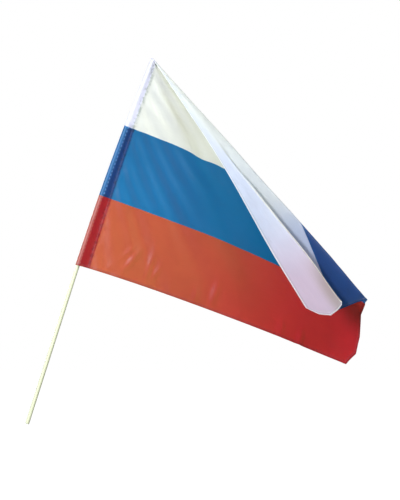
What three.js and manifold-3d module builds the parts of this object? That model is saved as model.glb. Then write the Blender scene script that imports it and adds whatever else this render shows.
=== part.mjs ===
// A stick flag: one printed cloth with a sewn sleeve, hanging from a leaning dowel.
// The dowel's foot is the origin, X runs towards the fly end, Y away from the viewer, Z up. Millimetres.
import * as THREE from "three";
import { mergeVertices } from "three/addons/utils/BufferGeometryUtils.js";
import Module from "manifold-3d";

const wasm = await Module();
wasm.setup();

// The cloth as it is cut and sewn
const hoist = 400;             // height of the cloth, along the stick
const fly = 558;               // length of the cloth, from the fold round the stick to the fly hem
const clothThickness = 1;
const sleeveAtTop = 12.6;      // width of the sleeve, from its fold to the line of stitches
const sleeveAtFoot = 24.4;
const seamThickness = 2.2;     // where both layers of the sleeve are stitched together

// The stick
const stickDiameter = 7;
const stickSides = 14;
const sleeveSlack = 0.6;       // room between the stick and the sleeve
const stickTopInset = 8;       // the stick ends this far below the top of the sleeve
const topCorner = new THREE.Vector3(223.8, 0, 662.6);  // where all folds of the cloth start
const hoistLean = 20.1;        // degrees from upright, along the sleeve
const hoistBow = 3.7;          // the cloth's pull bends the stick by this much
const hoistBowFades = 3;       // power with which that bow fades towards the fly end

// The big folds are rays from the top corner. Going round that corner from the hoist (90 degrees in the
// flat cloth) to the top hem (0 degrees), turn says how far the cloth has swung from facing the viewer:
// + away from the viewer, -90 edge on and coming nearer, -180 facing back over the panel. reach is how
// much of a ray's length still shows at the fly end, where the cloth curls.
const folds = [
  { name: "hoist", at: 90, turn: 0, reach: 1, steps: 0 },
  { name: "sleeve", at: 88.51, turn: 0, reach: 1, steps: 2 },
  { name: "stitches", at: 86, turn: 0, reach: 1, steps: 3 },
  { name: "panel", at: 78, turn: 14, reach: 1, steps: 8 },
  { name: "panel", at: 60, turn: 10, reach: 1, steps: 5 },
  { name: "panel", at: 50, turn: 15, reach: 1, steps: 4 },
  { name: "panel", at: 41, turn: 25, reach: 1, steps: 3 },
  { name: "bottom corner", at: 35.63, turn: 25, reach: 1, steps: 2 },
  { name: "start of the roll", at: 33.2, turn: 10, reach: 1.025, steps: 1 },
  { name: "roll", at: 31, turn: -6, reach: 1.013, steps: 2 },
  { name: "roll", at: 28.4, turn: -28, reach: 0.983, steps: 3 },
  { name: "wall of the roll", at: 25, turn: -80, reach: 0.976, steps: 3 },
  { name: "ridge", at: 19.4, turn: -91, reach: 0.992, steps: 1 },
  { name: "ridge", at: 19, turn: -158, reach: 0.992, steps: 1 },
  { name: "first facet", at: 17.4, turn: -172, reach: 0.988, steps: 3 },
  { name: "valley", at: 12, turn: -175, reach: 0.99, steps: 2 },
  { name: "valley", at: 11.4, turn: -95, reach: 0.992, steps: 2 },
  { name: "hidden layer", at: 10.9, turn: -12, reach: 0.992, steps: 2 },
  { name: "edge of the lobe", at: 8.05, turn: -8, reach: 0.998, steps: 2 },
  { name: "lobe", at: 7.25, turn: -95, reach: 0.994, steps: 2 },
  { name: "lobe", at: 6.45, turn: -152, reach: 1.005, steps: 2 },
  { name: "lobe", at: 5, turn: -166, reach: 1.013, steps: 2 },
  { name: "lobe", at: 3.2, turn: -179, reach: 1.016, steps: 2 },
  { name: "lobe", at: 1.6, turn: -187, reach: 0.995, steps: 2 },
  { name: "top hem", at: 0, turn: -194, reach: 0.954, steps: 0 },
];
const ridgeAngle = 19.4;       // the row of the ridge
const flapSpan = 8.5;          // near the top corner the flap has no pleat: the angle that it covers,
const flapDepth = 5;           // and the angle that it stands in front of the ridge
const pleatStart = 150;        // the pleat opens between these distances from the top corner
const pleatFull = 440;
const curlStart = 300;         // the fly end curls from this distance on

// Small departures from straight rays
const hemBow = { height: 6.5, along: 0.7, down: 4 };  // the bottom hem is bowed up, and powers of its shape
const sags = [
  { u: 400, v: 250, drop: 8, wide: 120, high: 70 },
  { u: 230, v: 140, drop: 8, wide: 90, high: 38 },
  { u: 560, v: 200, drop: 6, wide: 110, high: 110 },
  { u: 150, v: 134, drop: 3, wide: 20, high: 26 },
];

// Slanting folds that all point to one place in the flat cloth. They fade in down the cloth and away from
// the sleeve, and fade out towards the fly end
const fan = { u: -281, v: -186, from: 47.75, step: 6.7, height: 2.4 };
const fanFades = { down: [170, 290], in: [40, 110], out: [250, 430], roll: [31, 38] };

// Grid of the cloth: its rays start inside the seam of the sleeve, beside the room for the stick
const sheetStart = 10.4;
const innerRadius = 6;
const stepsAlongRay = 22;
const sleeveSteps = 24;
const sleeveArcSteps = 8;
const sleeveWaist = { along: 0.55, half: 1.76 };  // where the sleeve is drawn in: its place beside the stick
const cavityBeyond = { mouth: 30, top: 1 };       // the room for the stick is cut this far past its ends
const stickStations = 8;
const stickSteps = 40;
const bareStickStations = [0, 0.4, 0.8];          // shares of the way from the foot to the sleeve's mouth
const cavitySides = 12;
const cavitySteps = 16;

const rad = THREE.MathUtils.degToRad;
const smooth = THREE.MathUtils.smoothstep;
const mix = THREE.MathUtils.lerp;

// Value of a column of the folds at an angle, straight between rows
function foldAt(angle, column) {
  const next = Math.max(1, folds.findIndex((row) => row.at <= angle));
  const [a, b] = [folds[next - 1], folds[next]];
  return mix(a[column], b[column], (a.at - angle) / (a.at - b.at));
}

// Walks round the top corner in small steps of equal length, so that the cloth isn't stretched, and
// keeps the direction of each ray: its angle below the horizontal in the view, and its angle in depth.
const walkStep = 0.0625;
const walk = [{ view: rad(90 + hoistLean), depth: 0 }];
for (let angle = 90; angle > 0; angle -= walkStep) {
  const last = walk[walk.length - 1];
  const turn = rad(foldAt(angle - walkStep / 2, "turn"));
  const depth = last.depth + Math.sin(turn) * rad(walkStep);
  const view = last.view - (Math.cos(turn) / Math.cos(last.depth)) * rad(walkStep);
  walk.push({ view, depth });
}

function rayAt(angle) {
  const place = (90 - angle) / walkStep;
  const first = Math.min(Math.floor(place), walk.length - 2);
  const [a, b] = [walk[first], walk[first + 1]];
  const share = place - first;
  return { view: mix(a.view, b.view, share), depth: mix(a.depth, b.depth, share) };
}

// Direction of the cloth seen from the top corner. pleat runs from 0, where the flap is one plain
// layer, to 1, where it has its full back-and-forth fold.
function direction(angle, pleat) {
  const ray = rayAt(angle);
  if (angle < ridgeAngle) {
    const ridge = rayAt(ridgeAngle);
    const over = (ridgeAngle - angle) / ridgeAngle;
    ray.view = mix(ridge.view + rad(flapSpan) * over, ray.view, pleat);
    ray.depth = mix(ridge.depth - rad(flapDepth) * over * (2 - over), ray.depth, pleat);
  }
  return new THREE.Vector3(
    Math.cos(ray.depth) * Math.cos(ray.view),
    Math.sin(ray.depth),
    -Math.cos(ray.depth) * Math.sin(ray.view)
  );
}

// Where a point of the flat cloth hangs: u from the hoist fold towards the fly, v down from the top hem
function hangs(u, v) {
  const radius = Math.hypot(u, v);
  const angle = THREE.MathUtils.radToDeg(Math.atan2(v, u));
  const reach = mix(1, foldAt(angle, "reach"), smooth(radius, curlStart, fly));
  const point = direction(angle, smooth(radius, pleatStart, pleatFull)).multiplyScalar(radius * reach);
  point.add(topCorner);
  const [along, down] = [THREE.MathUtils.clamp(u / fly, 0, 1), v / hoist];
  point.z += hemBow.height * Math.sin(Math.PI * along ** hemBow.along) * down ** hemBow.down;
  for (const sag of sags) {
    point.z -= sag.drop * Math.exp(-(((u - sag.u) / sag.wide) ** 2) - ((v - sag.v) / sag.high) ** 2);
  }
  point.addScaledVector(towardsFly, -hoistBow * Math.sin(Math.PI * down) * (1 - along) ** hoistBowFades);
  const slant = THREE.MathUtils.radToDeg(Math.atan2(v - fan.v, u - fan.u));
  const share = smooth(v, ...fanFades.down) * smooth(u, ...fanFades.in) * (1 - smooth(u, ...fanFades.out));
  const wave = Math.sin((2 * Math.PI * (slant - fan.from)) / fan.step);
  point.y -= fan.height * share * smooth(angle, ...fanFades.roll) * wave;
  return point;
}

const downHoist = new THREE.Vector3(-Math.sin(rad(hoistLean)), 0, -Math.cos(rad(hoistLean)));
const towardsFly = new THREE.Vector3(Math.cos(rad(hoistLean)), 0, -Math.sin(rad(hoistLean)));

// Centre of the stick inside the sleeve, at a distance down from the top hem
const sleeveRadius = stickDiameter / 2 + sleeveSlack + clothThickness;
function stickCentre(v) {
  const bow = -hoistBow * Math.sin((Math.PI * v) / hoist);
  return topCorner.clone().addScaledVector(downHoist, v).addScaledVector(towardsFly, bow + sleeveRadius);
}

// A closed mesh from rings of points, with flat caps
function loft(rings) {
  const around = rings[0].length;
  const positions = rings.flat().flatMap((point) => point.toArray());
  const faces = [];
  for (let ring = 0; ring + 1 < rings.length; ring++) {
    for (let i = 0; i < around; i++) {
      const [a, b] = [ring * around + i, ring * around + ((i + 1) % around)];
      faces.push(a, b + around, b, a, a + around, b + around);
    }
  }
  const caps = [
    { ring: 0, flip: false },
    { ring: rings.length - 1, flip: true },
  ];
  for (const cap of caps) {
    const start = cap.ring * around;
    for (let i = 1; i + 1 < around; i++) {
      faces.push(start, start + (cap.flip ? i + 1 : i), start + (cap.flip ? i : i + 1));
    }
  }
  return closedGeometry(positions, faces);
}

function closedGeometry(positions, faces) {
  const geometry = new THREE.BufferGeometry();
  geometry.setAttribute("position", new THREE.Float32BufferAttribute(positions, 3));
  geometry.setIndex(faces);
  return geometry;
}

// The hanging cloth, a thin closed sheet on a grid of rays from the top corner
function sheetGeometry() {
  const corner = Math.atan2(hoist, fly);
  const angles = folds.flatMap((row, index) => {
    const next = folds[index + 1];
    return Array.from({ length: row.steps }, (_, i) => rad(mix(row.at, next.at, i / row.steps)));
  });
  angles.push(0);
  const grid = angles.map((angle) => {
    const edge = angle > corner ? [hoist / Math.tan(angle), hoist] : [fly, fly * Math.tan(angle)];
    const reach = new THREE.Vector2(Math.max(edge[0] - sheetStart, 0), edge[1]);
    const aim = reach.clone().normalize();
    return Array.from({ length: stepsAlongRay + 1 }, (_, i) => {
      const radius = mix(innerRadius, reach.length(), i / stepsAlongRay);
      return hangs(sheetStart + radius * aim.x, radius * aim.y);
    });
  });
  const last = { ray: grid.length - 1, step: stepsAlongRay };
  const normalAt = (ray, step) => {
    const acrossRays = grid[Math.min(ray + 1, last.ray)][step].clone().sub(grid[Math.max(ray - 1, 0)][step]);
    const alongRay = grid[ray][Math.min(step + 1, last.step)].clone().sub(grid[ray][Math.max(step - 1, 0)]);
    return acrossRays.cross(alongRay).normalize();
  };
  const positions = [];
  for (const side of [0.5, -0.5]) {
    for (let ray = 0; ray <= last.ray; ray++) {
      for (let step = 0; step <= last.step; step++) {
        const point = grid[ray][step].clone().addScaledVector(normalAt(ray, step), side * clothThickness);
        positions.push(...point.toArray());
      }
    }
  }
  const row = stepsAlongRay + 1;
  const back = grid.length * row;
  const faces = [];
  const quad = (a, b, c, d) => faces.push(a, b, c, a, c, d);
  for (let ray = 0; ray < last.ray; ray++) {
    for (let step = 0; step < last.step; step++) {
      const a = ray * row + step;
      quad(a, a + row, a + row + 1, a + 1);
      quad(back + a, back + a + 1, back + a + row + 1, back + a + row);
    }
    const inner = ray * row;
    const outer = inner + last.step;
    quad(inner, back + inner, back + inner + row, inner + row);
    quad(outer, outer + row, back + outer + row, back + outer);
  }
  for (let step = 0; step < last.step; step++) {
    const first = step;
    const end = last.ray * row + step;
    quad(first, first + 1, back + first + 1, back + first);
    quad(end, back + end, back + end + 1, end + 1);
  }
  return closedGeometry(positions, faces);
}

// The sleeve's outside at one place down the hoist: half round over the fold, then drawn in to the
// line of stitches
function sleeveRing(v) {
  const width = mix(sleeveAtTop, sleeveAtFoot, v / hoist);
  const tail = width - sleeveRadius;
  const half = seamThickness / 2;
  const section = [];
  for (let i = 0; i <= sleeveArcSteps; i++) {
    const angle = Math.PI / 2 + (Math.PI * i) / sleeveArcSteps;
    section.push([sleeveRadius * Math.cos(angle), sleeveRadius * Math.sin(angle)]);
  }
  const waist = sleeveWaist.along * tail;
  section.push([waist, -sleeveWaist.half], [tail, -half], [tail, half], [waist, sleeveWaist.half]);
  const centre = stickCentre(v);
  return section.map(([x, y]) => centre.clone().addScaledVector(towardsFly, x).add(new THREE.Vector3(0, y, 0)));
}

// A round bar on a line of points, each end square to the line
function barGeometry(points, radius, sides, steps) {
  const outline = new THREE.Shape();
  for (let i = 0; i < sides; i++) {
    const angle = (2 * Math.PI * i) / sides;
    const [x, y] = [radius * Math.cos(angle), radius * Math.sin(angle)];
    if (i === 0) outline.moveTo(x, y);
    else outline.lineTo(x, y);
  }
  outline.closePath();
  return new THREE.ExtrudeGeometry(outline, {
    steps,
    extrudePath: new THREE.CatmullRomCurve3(points, false, "centripetal"),
    bevelEnabled: false,
  });
}

function toSolid(geometry) {
  geometry.deleteAttribute("normal");
  geometry.deleteAttribute("uv");
  const merged = mergeVertices(geometry, 1e-4);
  const vertProperties = new Float32Array(merged.attributes.position.array);
  const triVerts = new Uint32Array(merged.index.array);
  return new wasm.Manifold(new wasm.Mesh({ numProp: 3, vertProperties, triVerts }));
}

function fromSolid(solid) {
  const mesh = solid.getMesh();
  return closedGeometry(Array.from(mesh.vertProperties), Array.from(mesh.triVerts));
}

const stations = (start, end) =>
  Array.from({ length: stickStations + 1 }, (_, i) => stickCentre(mix(start, end, i / stickStations)));
const mouth = stickCentre(hoist);
const stickPoints = bareStickStations.map((share) => mouth.clone().multiplyScalar(share));
stickPoints.push(...stations(hoist, stickTopInset));

const cavityPoints = stations(hoist + cavityBeyond.mouth, stickTopInset - cavityBeyond.top);
const cavity = barGeometry(cavityPoints, stickDiameter / 2 + sleeveSlack, cavitySides, cavitySteps);
const sleeve = loft(Array.from({ length: sleeveSteps + 1 }, (_, i) => sleeveRing((hoist * i) / sleeveSteps)));
const cloth = toSolid(sheetGeometry()).add(toSolid(sleeve)).subtract(toSolid(cavity));

const flag = new THREE.Group();

const clothMaterial = new THREE.MeshStandardMaterial({ color: 0x3a72a8, roughness: 0.6, metalness: 0 });
const flagCloth = new THREE.Mesh(fromSolid(cloth), clothMaterial);
flagCloth.name = "flag_cloth";
flag.add(flagCloth);

const stickMaterial = new THREE.MeshStandardMaterial({ color: 0xd8dbb4, roughness: 0.55, metalness: 0 });
const stick = new THREE.Mesh(barGeometry(stickPoints, stickDiameter / 2, stickSides, stickSteps), stickMaterial);
stick.name = "stick";
flag.add(stick);

export default flag;
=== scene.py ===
import bmesh
import bpy
import numpy as np
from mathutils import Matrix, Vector


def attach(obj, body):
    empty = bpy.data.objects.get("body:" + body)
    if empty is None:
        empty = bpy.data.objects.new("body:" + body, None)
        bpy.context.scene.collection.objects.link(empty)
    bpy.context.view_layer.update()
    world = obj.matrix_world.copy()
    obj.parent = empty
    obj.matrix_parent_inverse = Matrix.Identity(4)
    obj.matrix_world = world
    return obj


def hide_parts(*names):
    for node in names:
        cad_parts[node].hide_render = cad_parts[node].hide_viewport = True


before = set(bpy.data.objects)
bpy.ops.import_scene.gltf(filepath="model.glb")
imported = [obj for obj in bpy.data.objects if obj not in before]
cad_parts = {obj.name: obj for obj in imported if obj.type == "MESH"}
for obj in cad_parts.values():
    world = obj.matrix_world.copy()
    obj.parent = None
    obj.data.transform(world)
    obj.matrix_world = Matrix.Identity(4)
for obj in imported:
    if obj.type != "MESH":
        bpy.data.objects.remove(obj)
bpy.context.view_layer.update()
print("frame loaded:", sorted(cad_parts))

mm = 0.001


# Small tools for numbers

def smoothStep(x, low, high):
    # 0 below low, 1 above high, and a smooth S between them
    t = np.clip((x - low) / (high - low), 0, 1)
    return t * t * (3 - 2 * t)


def bell(x, width):
    # 1 at zero and falling on both sides: e to the power of minus (x / width) squared
    return np.exp(-(x / width) ** 2)


def mix(a, b, share):
    # a where share is 0, b where it is 1
    return a + (b - a) * share


def smoothNoise(x, y, size, seed):
    # random heights from -1 to 1 on a square lattice of this size, joined by smooth S curves. The shift
    # keeps the lattice's numbers above zero
    count, shift = 64, 1000
    heights = np.random.default_rng(seed).uniform(-1, 1, (count, count))
    px, py = x / size + shift, y / size + shift
    ix, iy = np.floor(px).astype(int), np.floor(py).astype(int)
    fx, fy = smoothStep(px - ix, 0, 1), smoothStep(py - iy, 0, 1)

    def corner(dx, dy):
        return heights[(ix + dx) % count, (iy + dy) % count]

    return mix(mix(corner(0, 0), corner(1, 0), fx), mix(corner(0, 1), corner(1, 1), fx), fy)


# The cloth's big folds

clothValues = {
    "hoist": 400,               # height of the cloth, along the stick
    "fly": 558,                 # length, from the fold round the stick to the fly hem
    "thickness": 0.35,
    "hemThickness": 0.8,
    "hemWidth": 5,
    "hemSoft": 0.7,             # the hem thins out over this distance on both sides of its width
    "gridStep": 2.6,
    "hemSteps": (0, 1.2, 3, 5, 6.4, 7.4, 8.6, 10.5),    # closer grid lines for a hem and its stitches
    "ownColumns": 30,           # this much of the length, at the sleeve and the hem, has columns of its own
    "topCorner": (223.8, 0, 662.6),     # all big folds start here
    "hoistLean": 20.1,          # degrees from upright
    "hoistBow": 3.7,
    "ridgeAngle": 19.4,         # degrees in the flat cloth, from the top hem
    "flapSpan": 8.5,            # near the top corner the flap covers this angle
    "flapDepth": 5,             # and stands this angle in front of the ridge
    "pleatStart": 150,          # the pleat opens between these distances from the top corner
    "pleatFull": 440,
    "curlStart": 300,           # from here on the rays of the cloth shorten, as its fly end curls
    "hemBow": 6.5,              # the bottom hem bows up by this
}

# Round the top corner, from the hoist (90) to the top hem (0): the angle in the flat cloth, how far the
# cloth has turned from facing the viewer (+ away, -90 edge on and coming nearer, -180 facing back), and
# how much of a ray's length still shows at the fly end
foldRows = np.array([
    (90, 0, 1), (86, 0, 1), (78, 14, 1), (60, 10, 1), (50, 15, 1), (41, 25, 1),     # flat panel
    (35.63, 25, 1), (33.2, 10, 1.025), (31, -6, 1.013), (28.4, -28, 0.983),         # fly end
    (25, -80, 0.976), (19.4, -91, 0.992), (19, -158, 0.992), (17.4, -172, 0.988),   # up and over the ridge
    (12, -175, 0.99), (11.4, -95, 0.992), (10.9, -12, 0.992), (8.05, -8, 0.998),    # hidden layer
    (7.25, -95, 0.994), (6.45, -152, 1.005), (5, -166, 1.013), (3.2, -179, 1.016),  # lobe
    (1.6, -187, 0.995), (0, -194, 0.954),                                           # and on to the top hem
])

# Places where the cloth hangs lower than straight rays would: u, v, drop, and the sag's width and height
sagRows = [(400, 250, 8, 120, 70), (230, 140, 8, 90, 38), (560, 200, 6, 110, 110), (150, 134, 3, 20, 26)]


def foldColumn(angle, column):
    # one column of the fold rows at any angle, in straight lines from row to row
    return np.interp(angle, foldRows[::-1, 0], foldRows[::-1, column])


def walkRoundCorner():
    # steps of equal length round the top corner, so the cloth isn't stretched. Each step adds
    # sin(turn) to the angle in depth and takes cos(turn) / cos(depth) from the angle in the view
    step = 0.0625
    angle = np.arange(90, -step / 2, -step)
    middle = angle[:-1] - step / 2
    turn = np.radians(foldColumn(middle, 1))
    depth = np.concatenate([[0], np.cumsum(np.sin(turn) * np.radians(step))])
    rate = np.cos(turn) / np.cos(depth[:-1]) * np.radians(step)
    view = np.radians(90 + clothValues["hoistLean"]) - np.concatenate([[0], np.cumsum(rate)])
    return angle[::-1], view[::-1], depth[::-1]


walkAngle, walkView, walkDepth = walkRoundCorner()


def rayAt(angle):
    # where the flat cloth's ray at this angle points: its angle in the view, and in depth
    return np.interp(angle, walkAngle, walkView), np.interp(angle, walkAngle, walkDepth)


def direction(angle, pleat):
    # unit vectors from the top corner. pleat mixes a plain one-layer flap (0) and its full folds (1)
    c = clothValues
    view, depth = rayAt(angle)
    ridgeView, ridgeDepth = rayAt(c["ridgeAngle"])
    over = np.clip((c["ridgeAngle"] - angle) / c["ridgeAngle"], 0, 1)
    plainView = ridgeView + np.radians(c["flapSpan"]) * over
    plainDepth = ridgeDepth - np.radians(c["flapDepth"]) * over * (2 - over)
    view = np.where(over > 0, mix(plainView, view, pleat), view)
    depth = np.where(over > 0, mix(plainDepth, depth, pleat), depth)
    return np.stack([np.cos(depth) * np.cos(view), np.sin(depth), -np.cos(depth) * np.sin(view)], -1)


lean = np.radians(clothValues["hoistLean"])
downHoist = np.array([-np.sin(lean), 0, -np.cos(lean)])
towardsFly = np.array([np.cos(lean), 0, -np.sin(lean)])
topCorner = np.array(clothValues["topCorner"], float)


def hangs(u, v):
    # where a point of the flat cloth hangs. Its distance from the top corner stays, and the fold rows turn
    # its ray. The bottom hem and the hoist are each bowed by half a sine wave, which fades across the cloth
    c = clothValues
    distance = np.hypot(u, v)
    angle = np.degrees(np.arctan2(v, u))
    reach = mix(1, foldColumn(angle, 2), smoothStep(distance, c["curlStart"], c["fly"]))
    pleat = smoothStep(distance, c["pleatStart"], c["pleatFull"])
    point = topCorner + (distance * reach)[..., None] * direction(angle, pleat)
    along, down = np.clip(u / c["fly"], 0, 1), v / c["hoist"]
    point[..., 2] += c["hemBow"] * np.sin(np.pi * along ** 0.7) * down ** 4
    for sagU, sagV, drop, wide, high in sagRows:
        point[..., 2] -= drop * bell(u - sagU, wide) * bell(v - sagV, high)
    bow = -c["hoistBow"] * np.sin(np.pi * down) * (1 - along) ** 3
    return point + bow[..., None] * towardsFly


# The sleeve round the stick

sleeveValues = {
    "widthAtTop": 12.6,         # from the fold to the line of stitches
    "widthAtFoot": 24.4,
    "stickInset": 5.1,          # from the fold to the stick's centre
    "radius": 4.3,
    "gap": 0.45,                # between the layers at the stitches, half of it
    "closing": 5,               # the sleeve is sewn shut at the top, over this length
    "leastOpen": 0.02,
    "drawShare": 0.93,          # the layers come together over this share of the way to the stitches,
    "drawUneven": 0.07,         # more or less
    "drawNoise": (12, 37),      # size and seed
    "besideCentre": 2,          # this far past the stick's centre the cloth stays in the stick's plane
    "panelFade": 5,             # and this far past the stitches it has its full depth
    "turnIn": 3,                # what is left of the back layer beyond the stitches
    "flatSteps": 15,            # columns of the front and the back layer
    "roundSteps": 17,           # and round the stick
}


def sleeveWidth(v):
    # from the fold to the stitches, widening evenly towards the foot
    return mix(sleeveValues["widthAtTop"], sleeveValues["widthAtFoot"], v / clothValues["hoist"])


def stickCentre(v):
    # the stick's line inside the sleeve: down from the top corner, bowed by half a sine wave
    bow = -clothValues["hoistBow"] * np.sin(np.pi * v / clothValues["hoist"])
    return (topCorner + v[..., None] * downHoist
            + (bow + sleeveValues["stickInset"])[..., None] * towardsFly)


def sleeveSection(v):
    # from the turned-in edge behind the sleeve, round the stick, to the stitches: how far each column lies
    # from the fold, how far behind the hoist's line, and whether it belongs to the back layer
    s = sleeveValues
    width, inset = sleeveWidth(v), s["stickInset"]
    radius = s["radius"] * np.sqrt(np.clip(v / s["closing"], s["leastOpen"], 1))
    draw = (width - inset) * (s["drawShare"] + s["drawUneven"] * smoothNoise(v, 0 * v, *s["drawNoise"]))
    back = np.linspace(1, 0, s["flatSteps"])[None, :-1]
    turn = np.linspace(0, np.pi, s["roundSteps"])[None, :]
    front = np.linspace(0, 1, s["flatSteps"])[None, 1:-1]
    xBack = inset + back * (width + s["turnIn"] - inset)
    xRound = inset - radius * np.sin(turn)
    xFront = inset + front * (width - inset)

    def drawnTo(x):
        # half the distance between the layers: a soft fall, as a cosine, from the stick to the stitches
        beside = np.clip((x - inset) / draw, 0, 1)
        return s["gap"] + (radius - s["gap"]) * (1 + np.cos(np.pi * beside)) / 2

    x = np.concatenate([xBack, xRound, xFront], 1)
    y = np.concatenate([drawnTo(xBack), radius * np.cos(turn), -drawnTo(xFront)], 1)
    behind = np.concatenate([np.ones(xBack.shape), turn + 0 * v < np.pi / 2, np.zeros(xFront.shape)], 1)
    return x, y, behind


# Soft folds, dents and creases in the cloth. A pair of limits says where something begins and is complete

rippleValues = {
    "fanCentre": (-281, -186),  # the slanting folds all point to this place in the flat cloth, u and v
    "fanDrift": 0.45,           # degrees that a fold wanders
    "shortStep": 3.36, "shortFrom": 36.7, "shortHeight": 1.05,      # degrees, degrees, millimetres
    "shortShare": 0.75, "shortUneven": 0.4,
    "shortEnds": (100, 290),    # in u
    "whiteGain": 1.7,           # the short folds are higher in the white stripe
    "whiteEnds": (90, 130),     # in v
    "blueGain": 1.55,           # and in the blue stripe
    "blueStarts": (105, 165), "blueEnds": (235, 275),
    "longStep": 6.7, "longFrom": 47.75, "longHeight": 2.0,
    "longStarts": (40, 110), "longEnds": (250, 430),    # in u
    "longDown": (170, 290),     # in v
    "rollAngles": (31, 38),     # no slanting folds in the part of the cloth that rolls over
    "besideSleeve": 22,
    "pucker": 0.5,              # dents along the hems
    "bottomReach": 16, "flyReach": 14, "cornerClear": (20, 90),
    "stitchPucker": 0.9,        # and beside the sleeve's stitches
    "stitchPlace": 2, "stitchReach": 8, "stitchStretch": 0.6,
    "uneven": 1.0, "unevenStarts": (25, 90),
    "fineUneven": 0.25, "fineStarts": (25, 60),
    "sleeveFade": 6,
    # size and seed of the smooth noise in each
    "driftNoise": (95, 3), "shortNoise": (60, 5), "puckerNoise": (11, 11), "stitchNoise": (8, 13),
    "unevenNoise": (80, 17), "fineNoise": (24, 29),
}

# Creases, listed one by one: u, v, direction in the flat cloth, half length, half width, height to the viewer
creaseRows = [
    (96, 360, -70, 24, 6, 3.0), (131, 362, -94, 28, 6, 3.2), (146, 370, -80, 16, 5, 2.2),   # above the
    (84, 350, -60, 18, 5, 1.6), (262, 368, 86, 24, 7, 3.0), (229, 382, 80, 12, 6, 2.2),     # bottom hem
    (405, 384, 80, 14, 7, 3.4), (449, 386, 85, 14, 7, 3.8), (320, 390, 75, 8, 6, 1.0),
    (180, 389, 85, 9, 7, 0.7), (382, 370, 29, 25, 5, -0.8), (60, 388, 100, 10, 5, 0.6),
    (48, 300, 70, 40, 8, 0.7), (70, 322, 60, 26, 6, -0.5),                                  # by the sleeve
    (150, 128, 50, 34, 9, -0.9), (196, 158, 52, 40, 12, 0.7),                               # under the ridge
    (296, 44, 8, 26, 9, -1.8), (345, 30, 5, 60, 8, 1.0), (400, 12, 3, 50, 6, -0.7),         # flap and lobe
    (470, 46, 4, 60, 9, -0.8), (505, 22, 3, 46, 8, 0.9), (540, 60, 6, 60, 15, 4.0),
    (530, 300, 70, 40, 14, 1.0), (545, 350, 60, 26, 10, -1.0), (530, 385, 35, 24, 9, 1.2),  # fly end
]


def slantingFolds(u, v):
    # waves in the angle round the fan's centre: short ones beside the sleeve, long ones low in the panel
    r = rippleValues
    fan = np.degrees(np.arctan2(v - r["fanCentre"][1], u - r["fanCentre"][0]))
    fan = fan + r["fanDrift"] * smoothNoise(u, v, *r["driftNoise"])
    short = r["shortShare"] + r["shortUneven"] * smoothNoise(u, v, *r["shortNoise"])
    short = short * (1 - smoothStep(u, *r["shortEnds"]))
    inBlue = smoothStep(v, *r["blueStarts"]) * (1 - smoothStep(v, *r["blueEnds"]))
    short = short * mix(1, r["blueGain"], inBlue) * mix(r["whiteGain"], 1, smoothStep(v, *r["whiteEnds"]))
    long = smoothStep(u, *r["longStarts"]) * (1 - smoothStep(u, *r["longEnds"]))
    long = long * smoothStep(v, *r["longDown"])
    return (r["shortHeight"] * short * np.sin(2 * np.pi * (fan - r["shortFrom"]) / r["shortStep"])
            + r["longHeight"] * long * np.sin(2 * np.pi * (fan - r["longFrom"]) / r["longStep"]))


def rippleHeight(u, v):
    # height to the viewer: slanting folds, dents by the seams, smooth noise, and creases, each of them a
    # bell along its own line and across it
    r, c = rippleValues, clothValues
    width = sleeveWidth(v)
    clearOfRoll = smoothStep(np.degrees(np.arctan2(v, u)), *r["rollAngles"])
    height = slantingFolds(u, v) * clearOfRoll * smoothStep(u, width, width + r["besideSleeve"])
    byHem = bell(c["hoist"] - v, r["bottomReach"]) + bell(c["fly"] - u, r["flyReach"])
    byHem = byHem * smoothStep(np.hypot(u, v), *r["cornerClear"])
    height = height + r["pucker"] * byHem * smoothNoise(u, v, *r["puckerNoise"])
    byStitches = bell(u - width - r["stitchPlace"], r["stitchReach"])
    dents = smoothNoise(u * r["stitchStretch"], v, *r["stitchNoise"])
    height = height + r["stitchPucker"] * byStitches * dents
    height = height + r["uneven"] * smoothNoise(u, v, *r["unevenNoise"]) * smoothStep(u, *r["unevenStarts"])
    height = height + r["fineUneven"] * smoothNoise(u, v, *r["fineNoise"]) * smoothStep(u, *r["fineStarts"])
    for creaseU, creaseV, turned, long, wide, high in creaseRows:
        t = np.radians(turned)
        along = (u - creaseU) * np.cos(t) + (v - creaseV) * np.sin(t)
        aside = (v - creaseV) * np.cos(t) - (u - creaseU) * np.sin(t)
        height = height + high * bell(along, long) * bell(aside, wide)
    return height


# Meshes

def gridNormals(point):
    # cross product of the two grid directions, made one long
    across = np.gradient(point, axis=1)
    down = np.gradient(point, axis=0)
    normal = np.cross(down, across)
    return normal / np.maximum(np.linalg.norm(normal, axis=-1, keepdims=True), 1e-9)


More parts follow.
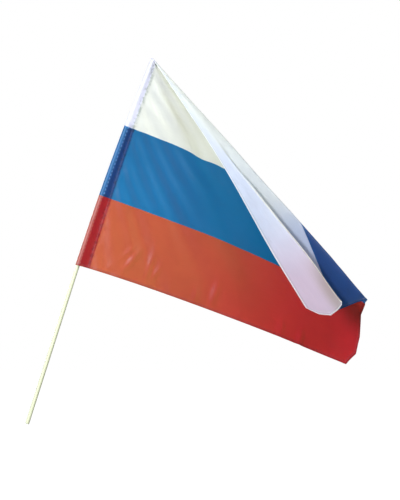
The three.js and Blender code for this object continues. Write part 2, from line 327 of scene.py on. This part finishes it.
def clothPoints():
    # a grid: rows run down the hoist, columns run round the sleeve and out to the fly hem. Each point hangs
    # in the big folds, moved by the sleeve's section and, along the surface's normal, by the ripples
    c, s = clothValues, sleeveValues
    hem = np.array(c["hemSteps"])
    rows = int(round((c["hoist"] - 2 * hem[-1]) / c["gridStep"])) + 1
    inner = np.linspace(hem[-1], c["hoist"] - hem[-1], rows)
    v = np.concatenate([hem[:-1], inner, c["hoist"] - hem[:-1][::-1]])[:, None]
    width = sleeveWidth(v)
    xSleeve, ySleeve, behind = sleeveSection(v)
    columns = int((c["fly"] - c["ownColumns"]) / c["gridStep"])
    flyHem = c["fly"] - hem[:-1][::-1][None, :] + 0 * v
    xPanel = mix(width, flyHem[:, :1], np.linspace(0, 1, columns)[None, :-1])
    xPanel = np.concatenate([xPanel, flyHem], 1)
    yPanel = -s["gap"] * (1 - smoothStep(xPanel, width, width + s["panelFade"]))
    x = np.concatenate([xSleeve, xPanel], 1)
    y = np.concatenate([ySleeve, yPanel], 1)
    behind = np.concatenate([behind, np.zeros(xPanel.shape)], 1)

    vGrid = v + 0 * x
    point = hangs(x, vGrid)
    point[..., 1] *= smoothStep(x, s["stickInset"] + s["besideCentre"], width + s["panelFade"])
    point[..., 1] += y
    ripple = rippleHeight(x, vGrid) * smoothStep(x, width, width + rippleValues["sleeveFade"]) * (1 - behind)
    point = point + ripple[..., None] * gridNormals(point)
    flat = np.stack([np.where(behind > 0, -x, x), vGrid], -1)
    return point, flat


def gridObject(name, point, flat, closeRound=False):
    # quads between neighbours of a grid. flat becomes the UV map, in metres
    rows, columns = point.shape[:2]
    index = np.arange(rows * columns).reshape(rows, columns)
    if closeRound:
        index = np.concatenate([index, index[:, :1]], 1)
    quads = np.stack([index[:-1, :-1], index[1:, :-1], index[1:, 1:], index[:-1, 1:]], -1).reshape(-1, 4)
    mesh = bpy.data.meshes.new(name)
    mesh.from_pydata((point.reshape(-1, 3) * mm).tolist(), [], quads.tolist())
    uvMap = mesh.uv_layers.new(name="flatCloth")
    corner = np.zeros(len(mesh.loops), dtype=np.int32)
    mesh.loops.foreach_get("vertex_index", corner)
    uvMap.data.foreach_set("uv", (flat.reshape(-1, 2)[corner] * mm).astype(np.float32).ravel())
    mesh.polygons.foreach_set("use_smooth", np.ones(len(mesh.polygons), dtype=bool))
    piece = bpy.data.objects.new(name, mesh)
    bpy.context.scene.collection.objects.link(piece)
    return piece


def makeCloth():
    # one layer of the grid, made thick, and thicker where the vertex group has the hems. The back layer's
    # u is negative, which keeps it clear of the fly hem
    c = clothValues
    point, flat = clothPoints()
    piece = gridObject("flagCloth", point, flat)
    edge = np.minimum(np.minimum(flat[..., 1], c["hoist"] - flat[..., 1]), c["fly"] - flat[..., 0])
    hem = 1 - smoothStep(edge.ravel(), c["hemWidth"] - c["hemSoft"], c["hemWidth"] + c["hemSoft"])
    hem = np.round(hem, 3)
    group = piece.vertex_groups.new(name="hem")
    for weight in np.unique(hem[hem > 0]):
        group.add(np.flatnonzero(hem == weight).tolist(), float(weight), "REPLACE")
    wall = piece.modifiers.new("thickness", "SOLIDIFY")
    wall.thickness = c["hemThickness"] * mm
    wall.offset = 0
    wall.vertex_group = "hem"
    wall.thickness_vertex_group = c["thickness"] / c["hemThickness"]
    piece.data.materials.append(printedCloth())
    return piece


stickValues = {
    "radius": 3.5,
    "chamfer": 0.35,
    "topInset": 8,              # the stick ends this far below the sleeve's closed top
    "sides": 40,
    "rings": 150,
    "endRings": 3,              # the evenly spaced rings stay this far from both ends
    "lineSteps": (90, 120),     # points of the stick's line, below the sleeve and inside it
    "uneven": 0.012,            # of the radius
    "mostOver": 0.004,
    "noiseRound": 3, "noiseAlong": 0.2, "noise": (5, 23),
}


def softened(values):
    # mean of each value and six more on both sides, with the ends carried on in line
    reach = 6
    count = 2 * reach + 1
    return np.convolve(np.pad(values, reach, "reflect", reflect_type="odd"), np.ones(count) / count, "valid")


def alongLine(places, travelled, values):
    # x, y and z at these distances along a line
    return np.stack([np.interp(places, travelled, values[:, i]) for i in range(3)], -1)


def makeStick():
    # rings square to the stick's line; the radius falls to nothing at both ends to close them. At 0.4 of
    # the chamfer's length 0.3 of its height is left, so its edge is slightly round
    s = stickValues
    below, inside = s["lineSteps"]
    inSleeve = stickCentre(np.linspace(clothValues["hoist"], s["topInset"], inside))
    line = np.concatenate([np.linspace(0, 1, below)[:-1, None] * inSleeve[0], inSleeve])
    travelled = np.concatenate([[0], np.cumsum(np.linalg.norm(np.diff(line, axis=0), axis=1))])
    length = travelled[-1]
    ends = np.array([0, 0, s["chamfer"] * 0.4, s["chamfer"]])
    evenly = np.linspace(s["endRings"], length - s["endRings"], s["rings"])
    ringPlaces = np.concatenate([ends, evenly, length - ends[::-1]])
    radii = np.full(len(ringPlaces), s["radius"])
    closing = [0, s["radius"] - s["chamfer"], s["radius"] - 0.3 * s["chamfer"], s["radius"]]
    radii[:4], radii[-4:] = closing, closing[::-1]

    line = np.stack([softened(line[:, i]) for i in range(3)], -1)
    centre = alongLine(ringPlaces, travelled, line)
    tangent = alongLine(ringPlaces, travelled, np.gradient(line, travelled, axis=0))
    tangent /= np.linalg.norm(tangent, axis=1, keepdims=True)
    sideways = np.array([0.0, 1.0, 0.0])
    across = np.cross(sideways, tangent)
    turn = np.linspace(0, 2 * np.pi, s["sides"], endpoint=False)
    noise = smoothNoise(turn[None, :] * s["noiseRound"], ringPlaces[:, None] * s["noiseAlong"], *s["noise"])
    ring = radii[:, None] * (1 + np.minimum(s["uneven"] * noise, s["mostOver"]))
    point = (centre[:, None, :]
             + (ring * np.cos(turn))[..., None] * across[:, None, :]
             + (ring * np.sin(turn))[..., None] * sideways)
    flat = np.stack([turn[None, :] * s["radius"] + 0 * ring, ringPlaces[:, None] + 0 * ring], -1)
    piece = gridObject("dowel", point, flat, closeRound=True)
    closeEnds(piece)
    piece.data.materials.append(paleWood())
    return piece


def closeEnds(piece):
    # joins the points of each end's centre and turns the faces outwards
    body = bmesh.new()
    body.from_mesh(piece.data)
    bmesh.ops.remove_doubles(body, verts=body.verts, dist=1e-6)
    bmesh.ops.recalc_face_normals(body, faces=body.faces)
    body.to_mesh(piece.data)
    body.free()


# Small tools for materials

def fillSocket(tree, socket, value):
    # a value is another node's output, or a constant
    if isinstance(value, bpy.types.NodeSocket):
        tree.links.new(value, socket)
    else:
        socket.default_value = value


def addNode(tree, kind, settings=None, **inputs):
    # an input is given by its name, with _ for a space, or by its number, as _0
    made = tree.nodes.new(kind)
    for name, value in (settings or {}).items():
        setattr(made, name, value)
    for name, value in inputs.items():
        key = int(name[1:]) if name[1:].isdigit() else name.replace("_", " ")
        fillSocket(tree, made.inputs[key], value)
    return made


def noiseAt(tree, place, scale, detail):
    # a cloudy noise from 0 to 1
    return addNode(tree, "ShaderNodeTexNoise", Vector=place, Scale=scale, Detail=detail).outputs[0]


def calc(tree, operation, a, b=0.0, c=0.0):
    return addNode(tree, "ShaderNodeMath", {"operation": operation}, _0=a, _1=b, _2=c).outputs[0]


def times(tree, a, b):
    return calc(tree, "MULTIPLY", a, b)


def timesPlus(tree, a, b, c):
    # a times b, plus c
    return calc(tree, "MULTIPLY_ADD", a, b, c)


def minus(tree, a, b):
    return calc(tree, "SUBTRACT", a, b)


def oneMinus(tree, a):
    return minus(tree, 1.0, a)


def rampStep(tree, value, low, high):
    # 0 below low, 1 above high, and a smooth S between them
    return addNode(tree, "ShaderNodeMapRange", {"interpolation_type": "SMOOTHSTEP"},
                   Value=value, From_Min=low, From_Max=high).outputs[0]


def rampMm(tree, value, limits):
    # the same, with both limits in millimetres
    return rampStep(tree, value, limits[0] * mm, limits[1] * mm)


def mixColour(tree, share, a, b, blend="MIX"):
    # a where share is 0 and b where it is 1. Both are colours or other nodes' outputs
    made = addNode(tree, "ShaderNodeMix", {"data_type": "RGBA", "blend_type": blend}, _0=share)
    for socket, value in ((made.inputs[6], a), (made.inputs[7], b)):
        fillSocket(tree, socket, (*value, 1) if isinstance(value, tuple) else value)
    return made.outputs[2]


def mixBoth(tree, share, cloth, colour):
    # cloth is a pair: the colour that is seen and the colour of the light that comes through
    return tuple(mixColour(tree, share, part, colour) for part in cloth)


def tintBoth(tree, cloth, tint):
    # multiplies both colours of the pair
    return tuple(mixColour(tree, 1.0, part, tint, "MULTIPLY") for part in cloth)


def newMaterial(name):
    # a material without nodes, and its node tree
    material = bpy.data.materials.new(name)
    material.use_nodes = True
    material.node_tree.nodes.clear()
    return material, material.node_tree


# The printed cloth. Each colour is what a face sends back, or what the cloth lets through. A pair of limits
# is a place in the flat cloth, in u unless the name or the note says otherwise

stripeValues = {
    "white": (0.90, 0.90, 0.93), "whiteThrough": (0.79, 0.80, 0.69),
    "blue": (0.025, 0.053, 0.155), "blueThrough": (0.03, 0.51, 0.79),
    "red": (0.62, 0.010, 0.035), "redThrough": (0.61, 0.42, 0.23),
    "redThroughLessLit": (0.84, 0.27, 0.21),    # painted shade: towards the fly end the light through the red is deeper and a little darker
    "redLessLitFrom": (180, 460),
    "edgeWobble": 0.5,          # the print's edges are uneven by this
    "edgeSoft": 0.3,
    "wobbleScale": 70.0,
}

lobeValues = {
    "lobeAngle": 8,             # the lobe in front lies between this angle and the top hem,
    "rimAngle": 6.8,            # with its fold here
    "lobeSoft": 2,
    # painted light: on the lobe the white is a bluer copy of the stripe's white
    "white": (0.88, 0.90, 0.99), "whiteThrough": (0.79, 0.81, 0.82),
    "foldedShade": (0.76, 0.80, 0.93),   # painted shade where layers lie close together and less light comes through
    "foldedFrom": (310, 420), "foldedDown": (45, 100),      # in u, in v
    "tint": (1.0, 0.86, 0.88),  # painted light from the red cloth behind, pink on the white at the fly end
    "tintFrom": (360, 500), "tintDown": 90,
    "edge": (0.84, 0.70, 0.62),     # painted shade, darker and redder, beside the lobe's right edge
    "edgeFrom": (430, 530),
    "edgeSlope": 0.06, "edgeWidth": 22,     # it grows down from a line of this slope, over this width
    "paintedHighlight": (1.0, 0.98, 0.86),   # painted highlight: a bright line on the lobe's fold
    "rimFrom": (200, 340), "rimWidth": (0.8, 2.0),
}


def stripeColour(tree, stripes, white, blue, red):
    # stripes is a pair of masks: past the white stripe, and in the red one
    return mixColour(tree, stripes[1], mixColour(tree, stripes[0], white, blue), red)


def printedStripes(tree, flat, u, v):
    # three equal stripes, whose edges wander with a noise. The lobe's mask is where u tan(angle) is above v
    s = stripeValues
    third = clothValues["hoist"] / 3
    wobble = noiseAt(tree, flat, s["wobbleScale"], 2.0)
    vPrint = timesPlus(tree, minus(tree, wobble, 0.5), s["edgeWobble"] * 2 * mm, v)
    edges = [(count * third - s["edgeSoft"], count * third + s["edgeSoft"]) for count in (1, 2)]
    stripes = [rampMm(tree, vPrint, edge) for edge in edges]
    onLobe = timesPlus(tree, u, np.tan(np.radians(lobeValues["lobeAngle"])), times(tree, v, -1.0))
    onLobe = rampMm(tree, onLobe, (-lobeValues["lobeSoft"], lobeValues["lobeSoft"]))
    # painted light: on the lobe the white is a bluer copy
    white = mixColour(tree, onLobe, s["white"], lobeValues["white"])
    whiteThrough = mixColour(tree, onLobe, s["whiteThrough"], lobeValues["whiteThrough"])
    # painted shade: the light through the red deepens towards the fly end
    redThrough = mixColour(tree, rampMm(tree, u, s["redLessLitFrom"]), s["redThrough"], s["redThroughLessLit"])
    cloth = (stripeColour(tree, stripes, white, s["blue"], s["red"]),
             stripeColour(tree, stripes, whiteThrough, s["blueThrough"], redThrough))
    return cloth, stripes, onLobe, wobble


def shadeLobe(tree, cloth, u, v, inWhite, onLobe):
    # painted red light and shade on the folded white cloth; a painted highlight on its fold, v = u tan(angle)
    s = lobeValues
    # painted light: red from the cloth behind, on the white at the fly end
    overRed = times(tree, rampMm(tree, u, s["tintFrom"]), calc(tree, "LESS_THAN", v, s["tintDown"] * mm))
    tint = mixColour(tree, overRed, (1.0, 1.0, 1.0), s["tint"])
    # painted shade where layers lie close together
    foldedShade = times(tree, rampMm(tree, u, s["foldedFrom"]), rampMm(tree, v, s["foldedDown"]))
    tint = mixColour(tree, times(tree, foldedShade, inWhite), tint, s["foldedShade"])
    # painted shade beside the lobe's right edge
    edgeShade = rampMm(tree, timesPlus(tree, u, -s["edgeSlope"], v), (0, s["edgeWidth"]))
    edgeShade = times(tree, edgeShade, times(tree, rampMm(tree, u, s["edgeFrom"]), onLobe))
    tint = mixColour(tree, edgeShade, tint, s["edge"])
    cloth = tintBoth(tree, cloth, tint)
    # painted highlight along the lobe's fold
    fromRim = calc(tree, "ABSOLUTE", timesPlus(tree, u, -np.tan(np.radians(s["rimAngle"])), v))
    paintedHighlight = oneMinus(tree, rampMm(tree, fromRim, s["rimWidth"]))
    return mixBoth(tree, times(tree, paintedHighlight, rampMm(tree, u, s["rimFrom"])), cloth, s["paintedHighlight"])


# A width that is a pair says where a line or a strip begins to fade and where it is gone
seamValues = {
    "blueLitByStick": (0.04, 0.22, 0.40), "redLitByStick": (0.78, 0.20, 0.18),  # painted light: the thin cloth over the stick, lit by the pale wood behind it
    "stripEdge": 6.3,           # that strip ends this far from the fold
    "stripSoft": 0.5,
    "bowDepth": 2.6,            # in small bows of this depth
    "bowStep": 7, "bowDrift": 1.4,
    "bowHighlight": (0.30, 0.56, 0.86),       # painted highlights: small puckers catch the light there in the blue stripe
    "bowHighlightWidth": (0.4, 1.8),
    "whiteSleeveLit": (0.93, 0.92, 0.99),  # two white layers, whiter; painted light: as much light comes through
    "sleeveSoft": 1,
    "hemShade": (0.86, 0.86, 0.86),     # a hem's two layers let less light through
    "hemSoft": 0.4,
    # painted highlight along a hem's edge in the white stripe
    "whiteEdgeHighlight": (1.0, 1.0, 0.96), "whiteEdgeWidth": (1.4, 3.0),
    "stitchFromEdge": 3.8,
    "stitchWidth": (0.2, 0.4),
    "stitchStep": 3.2, "stitchShare": 0.74,
    "thread": (0.62, 0.60, 0.60), "threadShare": 0.35,
    "dentShade": (0.62, 0.66, 0.60),         # painted shade in small dents where the sleeve's seam is gathered
    "markShare": 0.7, "markThroughShare": 0.6,
    "markWidth": (1.5, 6.0), "markScale": 150.0, "markLevels": (0.46, 0.62),
}


def shadeSleeve(tree, cloth, u, v, wobble, stripes, inWhite, sleeveLine):
    # painted light: in front of the stick the thin cloth is paler. That strip ends in small bows: |sin(v)|
    w = seamValues
    seen, through = cloth
    # painted light: a paler strip in front of the stick, lit by the pale wood
    litByStick = stripeColour(tree, stripes, w["whiteSleeveLit"], w["blueLitByStick"], w["redLitByStick"])
    bows = timesPlus(tree, v, np.pi / (w["bowStep"] * mm), times(tree, wobble, w["bowDrift"]))
    bows = calc(tree, "ABSOLUTE", calc(tree, "SINE", bows))
    beyond = minus(tree, u, timesPlus(tree, bows, w["bowDepth"] * mm, w["stripEdge"] * mm))
    strip = oneMinus(tree, rampMm(tree, beyond, (-w["stripSoft"], w["stripSoft"])))
    strip = times(tree, strip, calc(tree, "GREATER_THAN", u, 0.0))
    seen = mixColour(tree, strip, seen, litByStick)
    # painted highlights on the bows in the blue stripe
    paintedHighlight = oneMinus(tree, rampMm(tree, calc(tree, "ABSOLUTE", beyond), w["bowHighlightWidth"]))
    paintedHighlight = times(tree, paintedHighlight, times(tree, bows, bows))
    paintedHighlight = times(tree, paintedHighlight, minus(tree, stripes[0], stripes[1]))
    seen = mixColour(tree, paintedHighlight, seen, w["bowHighlight"])
    # painted light: the white sleeve is lighter, in the colour sent back and in the light through
    inSleeve = oneMinus(tree, rampMm(tree, minus(tree, u, sleeveLine), (-w["sleeveSoft"], 0)))
    return mixBoth(tree, times(tree, inSleeve, inWhite), (seen, through), w["whiteSleeveLit"])


def shadeHems(tree, cloth, fromEdge, inWhite):
    # hems let less light through, and in the white stripe their edge has a painted highlight
    c, w = clothValues, seamValues
    seen, through = cloth
    hemLimits = (c["hemWidth"] - w["hemSoft"], c["hemWidth"] + w["hemSoft"])
    hem = oneMinus(tree, rampMm(tree, fromEdge, hemLimits))
    through = mixColour(tree, hem, through, mixColour(tree, 1.0, through, w["hemShade"], "MULTIPLY"))
    # painted highlight along the hem's edge in the white stripe
    edge = oneMinus(tree, rampMm(tree, fromEdge, w["whiteEdgeWidth"]))
    return mixBoth(tree, times(tree, edge, inWhite), (seen, through), w["whiteEdgeHighlight"])


def shadeStitches(tree, cloth, flat, u, v, fromEdge, sleeveLine):
    # threads lie along the hems and the sleeve, in runs of equal length, and dents along the sleeve, with
    # painted shade
    w = seamValues
    toHemLine = calc(tree, "ABSOLUTE", minus(tree, fromEdge, w["stitchFromEdge"] * mm))
    toSleeveLine = calc(tree, "ABSOLUTE", minus(tree, calc(tree, "ABSOLUTE", u), sleeveLine))
    line = oneMinus(tree, rampMm(tree, calc(tree, "MINIMUM", toHemLine, toSleeveLine), w["stitchWidth"]))
    run = calc(tree, "FRACT", calc(tree, "DIVIDE", calc(tree, "ADD", u, v), w["stitchStep"] * mm))
    stitch = times(tree, line, calc(tree, "LESS_THAN", run, w["stitchShare"]))
    dents = rampStep(tree, noiseAt(tree, flat, w["markScale"], 2.0), *w["markLevels"])
    marks = times(tree, oneMinus(tree, rampMm(tree, toSleeveLine, w["markWidth"])), dents)
    # painted shade in the dents
    (seen, through), (seenMarked, throughMarked) = cloth, tintBoth(tree, cloth, w["dentShade"])
    seen = mixColour(tree, times(tree, marks, w["markShare"]), seen, seenMarked)
    through = mixColour(tree, times(tree, marks, w["markThroughShare"]), through, throughMarked)
    seen = mixColour(tree, times(tree, stitch, w["threadShare"]), seen, w["thread"])
    return (seen, through), line, stitch, marks


surfaceValues = {
    "throughShare": 0.7,        # of the light goes through the cloth and spreads behind it
    "roughness": 0.4,
    "specularLevel": 0.8,
    "sheen": 0.15, "sheenRoughness": 0.4,
    "leastTone": 0.89,          # uneven dye, in patches and along the threads
    "patchTone": 0.12, "patchScale": 14.0,
    "streakTone": 0.10, "streakScale": (30, 2400, 1),
    "threadPitch": 0.42,
    "creaseScale": 55.0,
    "creaseDepth": 0.9, "weaveDepth": 0.05, "stitchDepth": 0.25, "lineDepth": -0.3, "markDepth": -0.2,
    "bumpStrength": 0.5, "bumpDistance": 0.6,
}


def dyeTone(tree, flat):
    # uneven dye, and threads a little lighter or darker along the cloth
    s = surfaceValues
    patch = noiseAt(tree, flat, s["patchScale"], 3.0)
    stretched = addNode(tree, "ShaderNodeMapping", Vector=flat, Scale=s["streakScale"]).outputs[0]
    streak = noiseAt(tree, stretched, 1.0, 1.0)
    tone = timesPlus(tree, patch, s["patchTone"], times(tree, streak, s["streakTone"]))
    tone = calc(tree, "ADD", tone, s["leastTone"])
    return addNode(tree, "ShaderNodeCombineXYZ", X=tone, Y=tone, Z=tone).outputs[0]


def clothRelief(tree, flat, u, v, line, stitch, marks):
    # two crossing sets of threads, sin(u) sin(v), small creases, and the seams' stitches and dents
    s = surfaceValues
    turns = 2 * np.pi / (s["threadPitch"] * mm)
    warp = calc(tree, "SINE", times(tree, u, turns))
    weft = calc(tree, "SINE", times(tree, v, turns))
    weave = times(tree, warp, weft)
    height = times(tree, noiseAt(tree, flat, s["creaseScale"], 4.0), s["creaseDepth"])
    parts = ((weave, "weaveDepth"), (stitch, "stitchDepth"), (line, "lineDepth"), (marks, "markDepth"))
    for part, depth in parts:
        height = timesPlus(tree, part, s[depth], height)
    return addNode(tree, "ShaderNodeBump", Strength=s["bumpStrength"], Distance=s["bumpDistance"] * mm,
                   Height=height).outputs[0]


def printedCloth():
    # colours by the place on the flat cloth, on a face that shines a little and lets much light through
    s, c, w = surfaceValues, clothValues, sleeveValues
    material, tree = newMaterial("printedCloth")
    flat = addNode(tree, "ShaderNodeUVMap", {"uv_map": "flatCloth"}).outputs[0]
    parts = addNode(tree, "ShaderNodeSeparateXYZ", Vector=flat)
    u, v = parts.outputs[0], parts.outputs[1]
    widening = (w["widthAtFoot"] - w["widthAtTop"]) / c["hoist"]
    sleeveLine = timesPlus(tree, v, widening, w["widthAtTop"] * mm)
    fromEdge = calc(tree, "MINIMUM", v, minus(tree, c["hoist"] * mm, v))
    fromEdge = calc(tree, "MINIMUM", fromEdge, minus(tree, c["fly"] * mm, u))

    cloth, stripes, onLobe, wobble = printedStripes(tree, flat, u, v)
    inWhite = oneMinus(tree, stripes[0])
    cloth = shadeLobe(tree, cloth, u, v, inWhite, onLobe)
    cloth = shadeSleeve(tree, cloth, u, v, wobble, stripes, inWhite, sleeveLine)
    cloth = shadeHems(tree, cloth, fromEdge, inWhite)
    cloth, line, stitch, marks = shadeStitches(tree, cloth, flat, u, v, fromEdge, sleeveLine)
    seen, through = tintBoth(tree, cloth, dyeTone(tree, flat))
    bump = clothRelief(tree, flat, u, v, line, stitch, marks)

    front = addNode(tree, "ShaderNodeBsdfPrincipled", Base_Color=seen, Roughness=s["roughness"], Normal=bump)
    front.inputs["Specular IOR Level"].default_value = s["specularLevel"]
    front.inputs["Sheen Weight"].default_value = s["sheen"]
    front.inputs["Sheen Roughness"].default_value = s["sheenRoughness"]
    glow = addNode(tree, "ShaderNodeBsdfTranslucent", Color=through, Normal=bump)
    both = addNode(tree, "ShaderNodeMixShader", _0=s["throughShare"], _1=front.outputs[0], _2=glow.outputs[0])
    addNode(tree, "ShaderNodeOutputMaterial", Surface=both.outputs[0])
    return material


woodValues = {
    "pale": (0.57, 0.61, 0.40), "dark": (0.54, 0.49, 0.29),
    "lean": 17.7,               # the grain runs along the stick, degrees from upright,
    "alongGrain": 0.035,        # and changes this much more slowly along it than across
    "grainScale": 900, "grainShare": 0.55,
    "ringScale": 190.0, "ringDistortion": 3.0, "ringShare": 0.35,
    "roughness": 0.5,
    "bumpStrength": 0.35, "bumpDistance": 0.3,
}


def paleWood():
    # long fine grain and faint rings, both round an axis that leans as the stick does
    w = woodValues
    material, tree = newMaterial("paleWood")
    place = addNode(tree, "ShaderNodeTexCoord").outputs["Object"]
    turned = addNode(tree, "ShaderNodeMapping", Vector=place, Rotation=(0, -np.radians(w["lean"]), 0),
                     Scale=(1, 1, w["alongGrain"])).outputs[0]
    grain = noiseAt(tree, turned, w["grainScale"], 4.0)
    rings = addNode(tree, "ShaderNodeTexWave", {"wave_type": "RINGS", "rings_direction": "Z"}, Vector=turned,
                    Scale=w["ringScale"], Distortion=w["ringDistortion"], Detail=2.0).outputs[1]
    share = timesPlus(tree, grain, w["grainShare"], times(tree, rings, w["ringShare"]))
    colour = mixColour(tree, share, w["pale"], w["dark"])
    bump = addNode(tree, "ShaderNodeBump", Strength=w["bumpStrength"], Distance=w["bumpDistance"] * mm,
                   Height=grain).outputs[0]
    wood = addNode(tree, "ShaderNodeBsdfPrincipled", Base_Color=colour, Roughness=w["roughness"], Normal=bump)
    addNode(tree, "ShaderNodeOutputMaterial", Surface=wood.outputs[0])
    return material


# Stage, lights and camera

viewValues = {
    "distance": 3200,           # from the camera to the stick
    "imageSize": (400, 500),
    "footPixel": (27.2, 423.7), # where the stick's foot is in the photograph
    "mmPerPixel": 1.805,
    "sensor": 36,
    "clipEnd": 50000,
}

# Places and sizes of the lights and the floor are in metres
lightValues = {
    "skyStrength": 0.20,
    "keyPower": 214, "keyPlace": (-1.55, -2.9, 1.1), "keySize": 0.9, "keyColour": (0.84, 0.90, 1.0),
    "fillPower": 24, "fillPlace": (1.25, -0.65, 1.35), "fillSize": 0.8, "fillColour": (0.84, 0.90, 1.0),
    "backPower": 3.3, "backPlace": (-0.12, 0.38, 0.31), "backSize": 0.35, "backColour": (1.0, 0.98, 0.84),
    "aim": (0.15, 0.0, 0.45),
    "floorHeight": -0.45,
    "floorSize": 8.0,           # half of its width
    "floorGrey": (0.15, 0.15, 0.15, 1), "floorRoughness": 0.9,
    "floorGlow": 1.0,           # what the floor adds for the camera alone, so that it stays pale
}


def makeCamera():
    # level and square to the stick's plane, with the stick's foot at its pixel. The lens is the sensor's
    # width times the distance, over the real width of the photograph's longer side
    s = viewValues
    data = bpy.data.cameras.new("camera")
    data.sensor_width = s["sensor"]
    data.lens = s["sensor"] * s["distance"] / (max(s["imageSize"]) * s["mmPerPixel"])
    data.clip_end = s["clipEnd"] * mm
    camera = bpy.data.objects.new("camera", data)
    x = (s["imageSize"][0] / 2 - s["footPixel"][0]) * s["mmPerPixel"] * mm
    z = (s["footPixel"][1] - s["imageSize"][1] / 2) * s["mmPerPixel"] * mm
    camera.location = (x, -s["distance"] * mm, z)
    camera.rotation_euler = (np.pi / 2, 0, 0)
    bpy.context.scene.collection.objects.link(camera)
    bpy.context.scene.camera = camera


def areaLight(name):
    # a round lamp, turned to the aim
    s = lightValues
    data = bpy.data.lights.new(name, "AREA")
    data.shape = "DISK"
    data.size = s[name + "Size"]
    data.energy = s[name + "Power"]
    data.color = s[name + "Colour"]
    lamp = bpy.data.objects.new(name, data)
    place = Vector(s[name + "Place"])
    lamp.location = place
    lamp.rotation_euler = (Vector(s["aim"]) - place).to_track_quat("-Z", "Y").to_euler()
    bpy.context.scene.collection.objects.link(lamp)


def makeSky():
    # white to the camera, and a faint light from all sides
    faint = lightValues["skyStrength"]
    world = bpy.data.worlds.new("studio")
    bpy.context.scene.world = world
    world.use_nodes = True
    tree = world.node_tree
    tree.nodes.clear()
    toCamera = addNode(tree, "ShaderNodeLightPath").outputs["Is Camera Ray"]
    strength = timesPlus(tree, toCamera, 1.0 - faint, faint)
    sky = addNode(tree, "ShaderNodeBackground", Color=(1, 1, 1, 1), Strength=strength)
    addNode(tree, "ShaderNodeOutputWorld", Surface=sky.outputs[0])


def makeFloor():
    # one large pale sheet of paper
    s = lightValues
    size, height = s["floorSize"], s["floorHeight"]
    mesh = bpy.data.meshes.new("floor")
    corners = [(-size, -size, height), (size, -size, height), (size, size, height), (-size, size, height)]
    mesh.from_pydata(corners, [], [(0, 1, 2, 3)])
    floor = bpy.data.objects.new("floor", mesh)
    bpy.context.scene.collection.objects.link(floor)
    material, tree = newMaterial("floorPaper")
    toCamera = addNode(tree, "ShaderNodeLightPath").outputs["Is Camera Ray"]
    glow = times(tree, toCamera, s["floorGlow"])
    paper = addNode(tree, "ShaderNodeBsdfPrincipled", Base_Color=s["floorGrey"],
                    Roughness=s["floorRoughness"], Emission_Color=(1, 1, 1, 1), Emission_Strength=glow)
    addNode(tree, "ShaderNodeOutputMaterial", Surface=paper.outputs[0])
    floor.data.materials.append(material)


makeCamera()
makeSky()
for lightName in ("key", "fill", "back"):
    areaLight(lightName)
makeFloor()
bpy.context.scene.view_settings.view_transform = "Standard"
print("camera, lights and floor ready")

dowel = makeStick()
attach(dowel, "root")
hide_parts("stick")
print("stick made:", len(dowel.data.polygons), "faces")

flagCloth = makeCloth()
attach(flagCloth, "root")
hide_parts("flag_cloth")
print("cloth made:", len(flagCloth.data.polygons), "faces")

bpy.context.view_layer.update()
